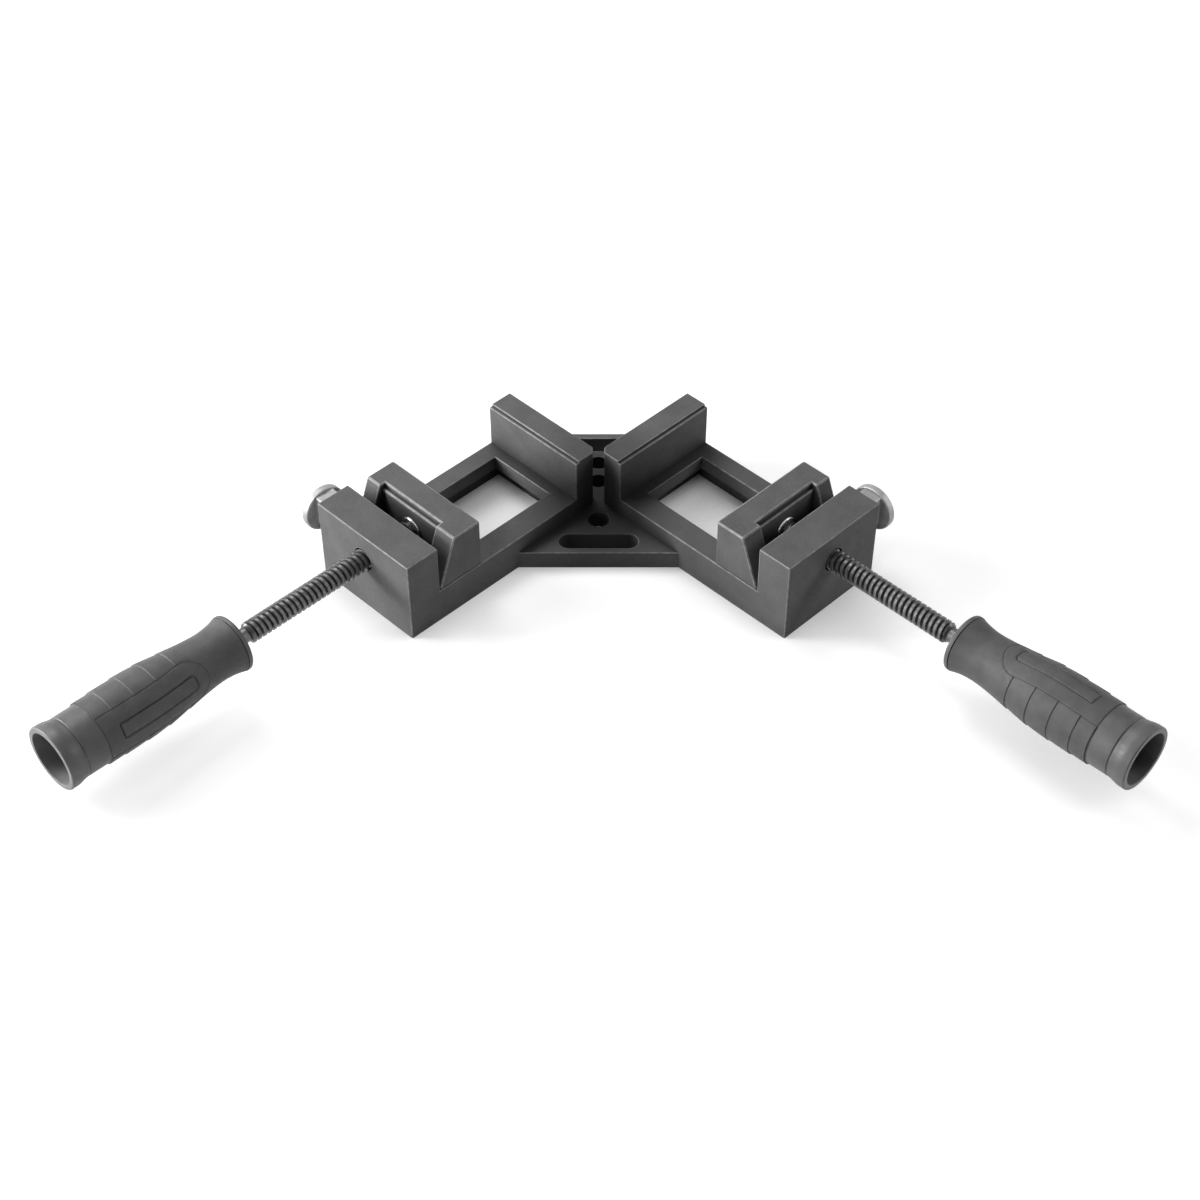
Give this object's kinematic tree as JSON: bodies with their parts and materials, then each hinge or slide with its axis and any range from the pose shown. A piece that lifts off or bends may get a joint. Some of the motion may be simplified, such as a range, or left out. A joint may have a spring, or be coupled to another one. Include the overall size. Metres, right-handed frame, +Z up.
{
  "type": "corner clamp",
  "caption": "Right-angle corner clamp: cast body with fixed jaws, sliding jaws on screw spindles with soft-grip handles and push-button quick release.",
  "frame": {"origin": "centre of the corner hole, on the plane that the clamp stands on", "axes": "+Z up, +X to the right arm's side, +Y from the front corner to the back plate; the arms lie at 45 degrees to X"},
  "size_m": [0.5066, 0.2574, 0.0469],
  "materials": {
    "body_paint": "satin black powder coat with a fine texture on a die casting",
    "jaw_paint": "satin black powder coat with rounded, slightly worn edges",
    "black_steel": "oiled black-oxide steel with bright thread crests",
    "plain_steel": "zinc-plated steel",
    "handle_plastic": "hard moulded plastic, fine matt texture",
    "grip_rubber": "soft matt moulded rubber with grip grooves and a plain label recess",
    "zinc_casting": "bare zinc die casting, satin grey"
  },
  "bodies": {
    "base": {"body_casting": "body_paint", "release_spring_right": "plain_steel", "release_spring_left": "plain_steel"},
    "jaw_right": {"moving_jaw_right": "jaw_paint", "keeper_plate_right": "plain_steel", "keeper_screws_right": "plain_steel", "nose_pin_right": "plain_steel"},
    "screw_right": {"screw_right": "black_steel", "screw_clip_right": "plain_steel", "handle_core_right": "handle_plastic", "grip_sleeve_right": "grip_rubber"},
    "button_right": {"release_button_right": "zinc_casting"},
    "jaw_left": {"moving_jaw_left": "jaw_paint", "keeper_plate_left": "plain_steel", "keeper_screws_left": "plain_steel", "nose_pin_left": "plain_steel"},
    "screw_left": {"screw_left": "black_steel", "screw_clip_left": "plain_steel", "handle_core_left": "handle_plastic", "grip_sleeve_left": "grip_rubber"},
    "button_left": {"release_button_left": "zinc_casting"}
  },
  "joints": [
    {"name": "jaw_slide_right", "type": "slide", "parent": "base", "child": "jaw_right", "axis": [0.7071, -0.7071, 0], "range_m": [-0.062, 0]},
    {"name": "screw_turn_right", "type": "hinge", "parent": "jaw_right", "child": "screw_right", "pos_m": [0.09164, -0.02905, 0.0305], "axis": [0.7071, -0.7071, 0], "range_deg": [-7441, 1]},
    {"name": "button_press_right", "type": "slide", "parent": "base", "child": "button_right", "axis": [-0.7071, -0.7071, 0], "range_m": [0, 0.003], "stiffness_N_per_m": 900, "springref_m": -0.004, "deforming": ["release_spring_right"]},
    {"name": "jaw_slide_left", "type": "slide", "parent": "base", "child": "jaw_left", "axis": [-0.7071, -0.7071, 0], "range_m": [-0.062, 0]},
    {"name": "screw_turn_left", "type": "hinge", "parent": "jaw_left", "child": "screw_left", "pos_m": [-0.09164, -0.02905, 0.0305], "axis": [-0.7071, -0.7071, 0], "range_deg": [-7441, 1]},
    {"name": "button_press_left", "type": "slide", "parent": "base", "child": "button_left", "axis": [0.7071, -0.7071, 0], "range_m": [0, 0.003], "stiffness_N_per_m": 900, "springref_m": -0.004, "deforming": ["release_spring_left"]}
  ],
  "couplings": [
    {"joint": "screw_turn_right", "follows": "jaw_slide_right", "rad_per_m": 2094.4},
    {"joint": "screw_turn_left", "follows": "jaw_slide_left", "rad_per_m": 2094.4}
  ]
}
